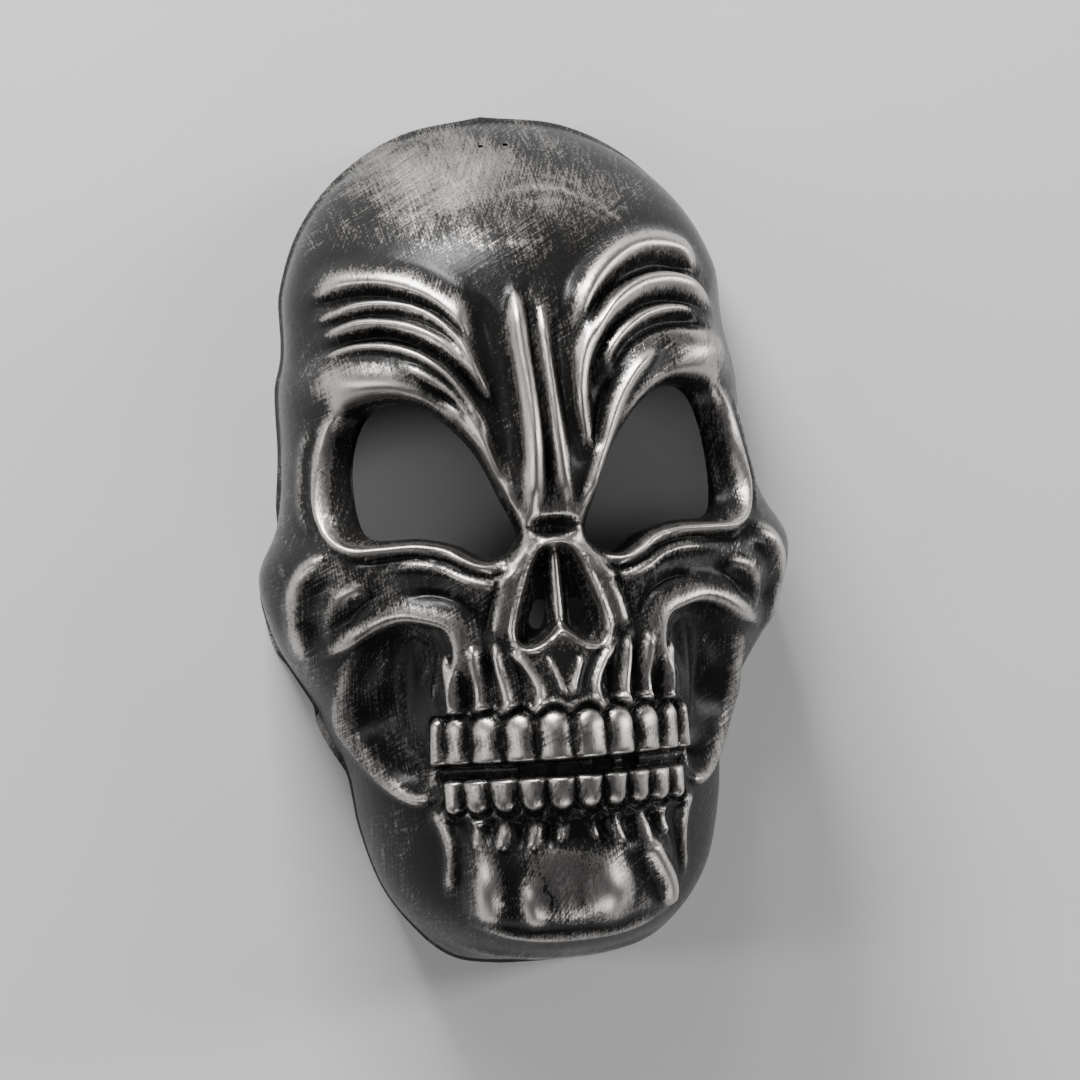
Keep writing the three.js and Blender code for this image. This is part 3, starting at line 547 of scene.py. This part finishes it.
def coarse_net():
    rows, columns = ROWS_TO_A_SECTION * (len(SECTIONS) - 1), NET_COLUMNS
    across = np.arange(columns + 1) / columns * math.pi
    along, turn = np.meshgrid(np.arange(1, rows) / rows, across, indexing="ij")
    along = np.concatenate([[0], along.ravel(), [1]])
    turn = np.concatenate([[math.pi / 2], turn.ravel(), [math.pi / 2]])
    index = 1 + np.arange((rows - 1) * (columns + 1)).reshape(rows - 1, columns + 1)
    a, b = index[:-1, :-1].ravel(), index[1:, :-1].ravel()
    c, d = index[1:, 1:].ravel(), index[:-1, 1:].ravel()
    top = len(along) - 1
    ends = [np.stack([np.zeros(columns, int), index[0, :-1], index[0, 1:]], 1),
            np.stack([index[-1, :-1], np.full(columns, top), index[-1, 1:]], 1)]
    return Net(along, turn), np.vstack([np.stack([a, b, c], 1), np.stack([a, c, d], 1)] + ends)


def edges_of(triangles, count):
    pairs = np.sort(triangles[:, [[0, 1], [1, 2], [2, 0]]].reshape(-1, 2), axis=1)
    keys, edge_of = np.unique(pairs[:, 0] * count + pairs[:, 1], return_inverse=True)
    return keys // count, keys % count, edge_of.reshape(-1, 3)


def divide(triangles, middles):
    """Splits each triangle at the middles of its marked edges."""
    marks = (middles >= 0).sum(1)

    def rolled(chosen, first):
        order = (first[:, None] + np.arange(3)) % 3
        return np.hstack([np.take_along_axis(triangles[chosen], order, 1),
                          np.take_along_axis(middles[chosen], order, 1)]).T

    one, two, three = marks == 1, marks == 2, marks == 3
    a, b, c, ab, _, _ = rolled(one, (middles[one] >= 0).argmax(1))
    pieces = [triangles[marks == 0], np.stack([a, ab, c], 1), np.stack([ab, b, c], 1)]
    a, b, c, ab, bc, _ = rolled(two, ((middles[two] < 0).argmax(1) + 1) % 3)
    pieces += [np.stack([ab, b, bc], 1), np.stack([a, ab, bc], 1), np.stack([a, bc, c], 1)]
    a, b, c, ab, bc, ca = rolled(three, np.zeros(three.sum(), int))
    pieces += [np.stack(corners, 1) for corners in ((a, ab, ca), (ab, b, bc), (ca, bc, c), (ab, bc, ca))]
    return np.vstack(pieces)


def refine(net, triangles):
    for _ in range(HALVINGS):
        a, b, edge_of = edges_of(triangles, len(net.along))
        middle = net.between(a, b, 0.5)
        length = np.linalg.norm(net.outer[a] - net.outer[b], axis=1)
        error = np.linalg.norm(middle.outer - (net.outer[a] + net.outer[b]) / 2, axis=1)
        wanted = np.minimum(np.minimum(net.edge[a], net.edge[b]), middle.edge)
        strays = (length > SHORTEST_EDGE) & (error > SURFACE_ERROR) & (middle.hole > -2)
        marked = strays | ((length > wanted) & (middle.hole > -1.5 * length))
        if not marked.any():
            break
        middles = np.full(len(a), -1)
        middles[marked] = len(net.along) + np.arange(marked.sum())
        net.extend(middle.pick(marked))
        triangles = divide(triangles, middles[edge_of])
    return net, triangles


def crossing(net, a, b):
    """Where the edges from a to b meet a hole's edge."""
    low, high = np.zeros(len(a)), np.ones(len(a))
    for _ in range(CROSSING_STEPS):
        f = (low + high) / 2
        middle = net.between(a, b, f)
        same = np.sign(middle.hole) == np.sign(net.hole[a])
        low, high = np.where(same, f, low), np.where(same, high, f)
    spot = net.between(a, b, low)
    spot.hole[:] = 0
    return spot, low


def cut_holes(net, triangles):
    """Corners close to a hole's edge move onto it; the other crossed edges get a new corner there."""
    a, b, _ = edges_of(triangles, len(net.along))
    crossed = net.hole[a] * net.hole[b] < 0
    a, b = a[crossed], b[crossed]
    spot, share = crossing(net, a, b)
    corner, near = np.concatenate([a, b]), np.concatenate([share, 1 - share])
    order = np.argsort(near)
    order = order[near[order] < EDGE_SNAP_SHARE]
    corner, first = np.unique(corner[order], return_index=True)
    net.put(corner, spot.pick(order[first] % len(a)))
    a, b, edge_of = edges_of(triangles, len(net.along))
    crossed = net.hole[a] * net.hole[b] < 0
    middles = np.full(len(a), -1)
    middles[crossed] = len(net.along) + np.arange(crossed.sum())
    net.extend(crossing(net, a[crossed], b[crossed])[0])
    pieces = divide(triangles, middles[edge_of])
    signs = np.sign(net.hole[pieces])
    return net, pieces[(signs.min(1) >= 0) & (signs.max(1) > 0)]


def shell_faces(net, triangles):
    """Outer faces, inner faces turned round, and a wall along every open edge."""
    count = len(net.along)
    edges = triangles[:, [[0, 1], [1, 2], [2, 0]]].reshape(-1, 2)
    keys = edges[:, 0] * count + edges[:, 1]
    back = edges[:, 1] * count + edges[:, 0]
    a, b = edges[~np.isin(keys, back)].T
    wall = np.vstack([np.stack([b, a, a + count], 1), np.stack([b, a + count, b + count], 1)])
    inner = triangles[:, ::-1] + count
    return triangles, inner, wall


def new_mesh(name, points, faces):
    mesh = bpy.data.meshes.new(name)
    mesh.from_pydata((points * MM).tolist(), [], faces.tolist())
    mesh.validate()
    mesh.update()
    return mesh


# Paint: where the silver lies, with a painted highlight of dense silver on the upper left of the forehead and
# painted shade of less silver on the temples. Side, x, y, reach across and up, tilt, strength; percents as
# above.
SILVER_SHEEN_AND_SHADE_PATCHES = [
    # painted highlight: dense silver standing in for the sheen on the upper left of the forehead
    ("one", -25, 87, 46, 15, 8, 0.52),
    ("one", 14, 78, 44, 16, 0, 0.10),
    ("one", -64, 38, 24, 9, 0, 0.35),
    ("one", 64, 41, 22, 9, 0, 0.25),
    ("both", 50, 54, 40, 16, 0, 0.14),
    ("both", 55, -12, 34, 12, 0, -0.12),
    ("one", 0, -40, 46, 18, 0, 0.12),
    ("one", 0, -81, 48, 13, 0, 0.60),
    ("one", 0, 20, 95, 100, 0, 0.10),
    ("both", 64, -37, 24, 30, 0, -0.6),
    # painted shade: less silver darkening the temple sides
    ("both", 88, 40, 20, 50, 0, -0.2),
    ("both", 30, -30, 18, 14, 0, 0.20),
]
PAINT_STROKES = [
    ("one", 0.4, (1.3, 1.3), [(-6, 80.5), (6, 82.5), (19, 82), (31, 78.5), (41, 74), (47.5, 71), (56, 66.5)]),
    ("one", 0.25, (0.9, 0.9), [(-2, 77), (8, 79), (20, 78.6), (31, 75), (40, 71)]),
    ("one", 0.3, (1.0, 1.0), [(-25, 67), (-16, 69), (-6, 69.5), (6, 68)]),
    ("one", 0.2, (0.8, 0.8), [(10, 86), (24, 84), (38, 79), (50, 72), (58, 65)]),
    ("one", 0.3, (1.2, 1.2), [(-36, 59), (-33, 62), (-27, 62), (-25, 59), (-28, 57)]),
]
BASE_PAINT = 0.06

# Reach in mm of the blurs that tell fine from broad forms, and how much paint each form takes
FINE_REACH = 2.6
BROAD_NEAR, BROAD_FAR = 1.2, 8
FINE_PAINT, FINE_START, FINE_SPAN = 0.66, 0.15, 0.9
BROAD_PAINT, BROAD_SPAN = 0.14, 2.4
FINE_SHADE, FINE_SHADE_SPAN = 0.6, 0.5
BROAD_SHADE, BROAD_SHADE_SPAN = 0.5, 2.0


def silver_sheen_and_shade_chart():
    fine = relief - blurred(relief, FINE_REACH)
    broad = blurred(relief, BROAD_NEAR) - blurred(relief, BROAD_FAR)
    silver_sheen_and_shade = np.zeros(relief.shape)
    # the patches add a painted highlight on the forehead and painted shade on the temples to the silver
    for side, x, y, reach_x, reach_y, tilt, strength in SILVER_SHEEN_AND_SHADE_PATCHES:
        add_mound(chart, silver_sheen_and_shade, side, x, y, reach_x, reach_y, tilt, strength * 100 / RELIEF)
    for side, strength, wide, path in PAINT_STROKES:
        add_fold(chart, silver_sheen_and_shade, side, strength * 100 / RELIEF, wide, path)
    raised = FINE_PAINT * smooth((fine - FINE_START) / FINE_SPAN) + BROAD_PAINT * smooth(broad / BROAD_SPAN)
    sunk = FINE_SHADE * smooth(-fine / FINE_SHADE_SPAN) + BROAD_SHADE * smooth(-broad / BROAD_SHADE_SPAN)
    return np.clip(BASE_PAINT + raised + silver_sheen_and_shade - sunk, 0, 1)


SHARP_ANGLE = math.radians(55)


def shell_piece():
    net, triangles = cut_holes(*refine(*coarse_net()))
    outer, inner, wall = shell_faces(net, triangles)
    points = np.vstack([net.outer, net.inner])
    faces = np.vstack([outer, inner, wall])
    used, compact = np.unique(faces, return_inverse=True)
    faces = compact.reshape(-1, 3)
    mesh = new_mesh("skull_shell", points[used], faces)
    count = len(net.along)
    is_outer = used < count
    base = np.vstack([net.base, net.base])[used]
    # the attribute holds the silver, with the painted highlight and painted shade of the patches
    silver_with_sheen_and_shade = chart.read(silver_sheen_and_shade_chart(), base[:, 0], base[:, 1]) * is_outer
    attribute = mesh.attributes.new("silver_with_sheen_and_shade", "FLOAT", "POINT")
    attribute.data.foreach_set("value", silver_with_sheen_and_shade.astype(np.float32))
    mesh.shade_smooth()
    mesh.set_sharp_from_angle(angle=SHARP_ANGLE)
    mesh.materials.append(painted_plastic())
    mesh.materials.append(inner_plastic())
    slots = np.zeros(len(faces), np.int32)
    slots[len(outer):len(outer) + len(inner)] = 1
    mesh.polygons.foreach_set("material_index", slots)
    piece = bpy.data.objects.new("skull_shell", mesh)
    bpy.context.scene.collection.objects.link(piece)
    print("shell triangles", len(faces))
    return piece


# Materials
BLACK = (0.011, 0.0105, 0.010, 1)
SILVER = (0.60, 0.565, 0.535, 1)
INSIDE_BLACK = (0.012, 0.012, 0.012, 1)
FLOOR_COLOUR = (0.86, 0.86, 0.86, 1)
PLASTIC_IOR = 1.4
PLASTIC_SPECULAR = 0.2
GLOSS_ROUGHNESS = (0.22, 0.36)
INSIDE_ROUGHNESS = (0.38, 0.52)
FLOOR_ROUGHNESS = (0.80, 0.88)
BUMP_DISTANCE = 0.0003

# Brush marks: angle in degrees and marks per metre. The first lies over all, the other two take turns.
LONG_MARKS = (4, (2200, 60, 60))
SLANTED_MARKS = ((-62, (2000, 70, 70)), (-30, (2000, 70, 70)))
MARK_DETAIL = 5
MARK_MEAN = 1.15
MARK_STRENGTH = 0.75
SLANTED_STRENGTH = 1.3
PATCH_STRENGTH = 0.8
GRAIN_STRENGTH = 0.9


def new_material(name):
    material = bpy.data.materials.new(name)
    material.use_nodes = True
    nodes = material.node_tree.nodes
    return material, nodes, material.node_tree.links, nodes["Principled BSDF"]


def streaks(nodes, links, angle, scales, detail):
    """Noise drawn out into brush marks: scales are marks per metre across, along and in depth."""
    coordinates = nodes.new("ShaderNodeTexCoord")
    mapping = nodes.new("ShaderNodeMapping")
    mapping.vector_type = "TEXTURE"
    mapping.inputs["Rotation"].default_value = (0, 0, math.radians(angle))
    mapping.inputs["Scale"].default_value = tuple(1 / scale for scale in scales)
    noise = nodes.new("ShaderNodeTexNoise")
    noise.inputs["Scale"].default_value = 1
    noise.inputs["Detail"].default_value = detail
    noise.inputs["Roughness"].default_value = 0.6
    links.new(coordinates.outputs["Object"], mapping.inputs["Vector"])
    links.new(mapping.outputs["Vector"], noise.inputs["Vector"])
    return noise.outputs["Fac"]


def math_node(nodes, links, operation, *values):
    node = nodes.new("ShaderNodeMath")
    node.operation = operation
    for socket, value in zip(node.inputs, values):
        if isinstance(value, (int, float)):
            socket.default_value = value
        else:
            links.new(value, socket)
    return node.outputs[0]


def ramp(nodes, links, value, low, high, out_low=0.0, out_high=1.0):
    node = nodes.new("ShaderNodeMapRange")
    node.interpolation_type = "SMOOTHSTEP"
    limits = {"From Min": low, "From Max": high, "To Min": out_low, "To Max": out_high}
    for name, number in limits.items():
        node.inputs[name].default_value = number
    links.new(value, node.inputs["Value"])
    return node.outputs["Result"]


def add_bump(nodes, links, shader, height, strength):
    node = nodes.new("ShaderNodeBump")
    node.inputs["Strength"].default_value = strength
    node.inputs["Distance"].default_value = BUMP_DISTANCE
    links.new(height, node.inputs["Height"])
    links.new(node.outputs["Normal"], shader.inputs["Normal"])


def painted_plastic():
    material, nodes, links, shader = new_material("painted_plastic")
    # the attribute's silver includes a painted highlight on the forehead and painted shade on the temples
    silver_with_sheen_and_shade = nodes.new("ShaderNodeAttribute")
    silver_with_sheen_and_shade.attribute_name = "silver_with_sheen_and_shade"
    marks = [streaks(nodes, links, angle, scales, MARK_DETAIL)
             for angle, scales in (LONG_MARKS, *SLANTED_MARKS)]
    patchy = streaks(nodes, links, 20, (70, 45, 45), 4)
    choice = ramp(nodes, links, streaks(nodes, links, 0, (24, 24, 24), 2), 0.42, 0.58)
    other_choice = math_node(nodes, links, "SUBTRACT", 1, choice)
    crossed = math_node(nodes, links, "MULTIPLY", marks[1], choice)
    crossed = math_node(nodes, links, "MULTIPLY_ADD", marks[2], other_choice, crossed)
    crossed = math_node(nodes, links, "MULTIPLY_ADD", crossed, SLANTED_STRENGTH, marks[0])
    amount = math_node(nodes, links, "MULTIPLY_ADD", crossed, MARK_STRENGTH, -MARK_STRENGTH * MARK_MEAN)
    grain = streaks(nodes, links, 0, (1500, 1000, 1000), 3)
    for noise, strength in ((patchy, PATCH_STRENGTH), (grain, GRAIN_STRENGTH)):
        lowered = math_node(nodes, links, "SUBTRACT", amount, strength / 2)
        amount = math_node(nodes, links, "MULTIPLY_ADD", noise, strength, lowered)
    amount = math_node(nodes, links, "ADD", amount, silver_with_sheen_and_shade.outputs["Fac"])
    silver = ramp(nodes, links, amount, 0.06, 1.0)
    colour = nodes.new("ShaderNodeMix")
    colour.data_type = "RGBA"
    colour.inputs["A"].default_value = BLACK
    colour.inputs["B"].default_value = SILVER
    links.new(silver, colour.inputs["Factor"])
    links.new(colour.outputs["Result"], shader.inputs["Base Color"])
    links.new(ramp(nodes, links, silver, 0.0, 0.5), shader.inputs["Metallic"])
    rough = streaks(nodes, links, 0, (700, 300, 300), 4)
    rough = math_node(nodes, links, "MULTIPLY_ADD", silver, 0.4, rough)
    links.new(ramp(nodes, links, rough, 0.3, 1.0, *GLOSS_ROUGHNESS), shader.inputs["Roughness"])
    add_bump(nodes, links, shader, math_node(nodes, links, "MULTIPLY_ADD", silver, 0.5, crossed), 0.25)
    shader.inputs["IOR"].default_value = PLASTIC_IOR
    shader.inputs["Specular IOR Level"].default_value = PLASTIC_SPECULAR
    return material


def inner_plastic():
    material, nodes, links, shader = new_material("inner_plastic")
    grain = streaks(nodes, links, 0, (500, 500, 500), 4)
    shader.inputs["Base Color"].default_value = INSIDE_BLACK
    links.new(ramp(nodes, links, grain, 0.3, 0.7, *INSIDE_ROUGHNESS), shader.inputs["Roughness"])
    add_bump(nodes, links, shader, grain, 0.15)
    return material


def floor_material():
    material, nodes, links, shader = new_material("floor_paper")
    grain = streaks(nodes, links, 0, (60, 60, 60), 5)
    links.new(ramp(nodes, links, grain, 0.2, 0.8, *FLOOR_ROUGHNESS), shader.inputs["Roughness"])
    shader.inputs["Base Color"].default_value = FLOOR_COLOUR
    return material


# Stage
VIEW_YAW = math.radians(10)
VIEW_PITCH = math.radians(1)
VIEW_ROLL = math.radians(4)
VIEW_DISTANCE = 2.5
VIEW_FILL = 0.80
SENSOR = 36
FAR_END = 20
TARGET_HEIGHT_SHARE = 0.6
FLOOR_REACH = 6.0
LIGHT_AIM = (0, 0, 0.05)
WORLD_COLOUR = (0.92, 0.94, 1, 1)
WORLD_STRENGTH = 0.09

# Lights: name, place in metres, width and height in metres, power in watts
LIGHTS = [
    ("key", (-0.38, 1.35, 0.45), (0.6, 0.26), 44),
    ("right_strip", (1.6, 0.2, 0.7), (0.3, 1.3), 15),
    ("left_strip", (-1.6, 0.0, 0.8), (0.25, 1.2), 8),
    ("low_strip", (0.3, -1.6, 0.8), (1.0, 0.25), 7),
    ("top", (-0.7, 1.5, 1.8), (0.5, 0.4), 6),
]


def make_floor():
    corners = np.array([(-1, -1, 0), (1, -1, 0), (1, 1, 0), (-1, 1, 0)]) * FLOOR_REACH / MM
    mesh = new_mesh("floor", corners, np.array([[0, 1, 2, 3]]))
    mesh.materials.append(floor_material())
    floor = bpy.data.objects.new("floor", mesh)
    bpy.context.scene.collection.objects.link(floor)


def make_camera():
    sin_yaw, cos_yaw = math.sin(VIEW_YAW), math.cos(VIEW_YAW)
    sin_pitch, cos_pitch = math.sin(VIEW_PITCH), math.cos(VIEW_PITCH)
    right = Vector((cos_yaw, 0, sin_yaw))
    up = Vector((sin_yaw * sin_pitch, cos_pitch, -cos_yaw * sin_pitch))
    back = Vector((-sin_yaw * cos_pitch, sin_pitch, cos_yaw * cos_pitch))
    turned_right = right * math.cos(VIEW_ROLL) - up * math.sin(VIEW_ROLL)
    turned_up = right * math.sin(VIEW_ROLL) + up * math.cos(VIEW_ROLL)
    data = bpy.data.cameras.new("camera")
    data.sensor_width = SENSOR
    data.sensor_height = SENSOR
    data.sensor_fit = "HORIZONTAL"
    low, high = cad_box
    target = Vector(((low[0] + high[0]) / 2, (low[1] + high[1]) / 2, TARGET_HEIGHT_SHARE * high[2]))
    seen_height = (high[1] - low[1]) / VIEW_FILL
    data.lens = data.sensor_width * VIEW_DISTANCE / seen_height
    data.clip_end = FAR_END
    camera = bpy.data.objects.new("camera", data)
    bpy.context.scene.collection.objects.link(camera)
    turn = Matrix((turned_right, turned_up, back)).transposed().to_4x4()
    camera.matrix_world = Matrix.Translation(target + back * VIEW_DISTANCE) @ turn
    bpy.context.scene.camera = camera


def area_light(name, at, size, power):
    data = bpy.data.lights.new(name, "AREA")
    data.shape = "RECTANGLE"
    data.size, data.size_y = size
    data.energy = power
    light = bpy.data.objects.new(name, data)
    bpy.context.scene.collection.objects.link(light)
    light.location = at
    light.rotation_euler = (Vector(LIGHT_AIM) - Vector(at)).to_track_quat("-Z", "Y").to_euler()


def make_lights():
    for light in LIGHTS:
        area_light(*light)
    world = bpy.data.worlds.new("studio")
    world.use_nodes = True
    world.node_tree.nodes["Background"].inputs["Color"].default_value = WORLD_COLOUR
    world.node_tree.nodes["Background"].inputs["Strength"].default_value = WORLD_STRENGTH
    bpy.context.scene.world = world


make_floor()
make_camera()
make_lights()
shell = shell_piece()
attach(shell, "root")
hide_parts("mask_shell")
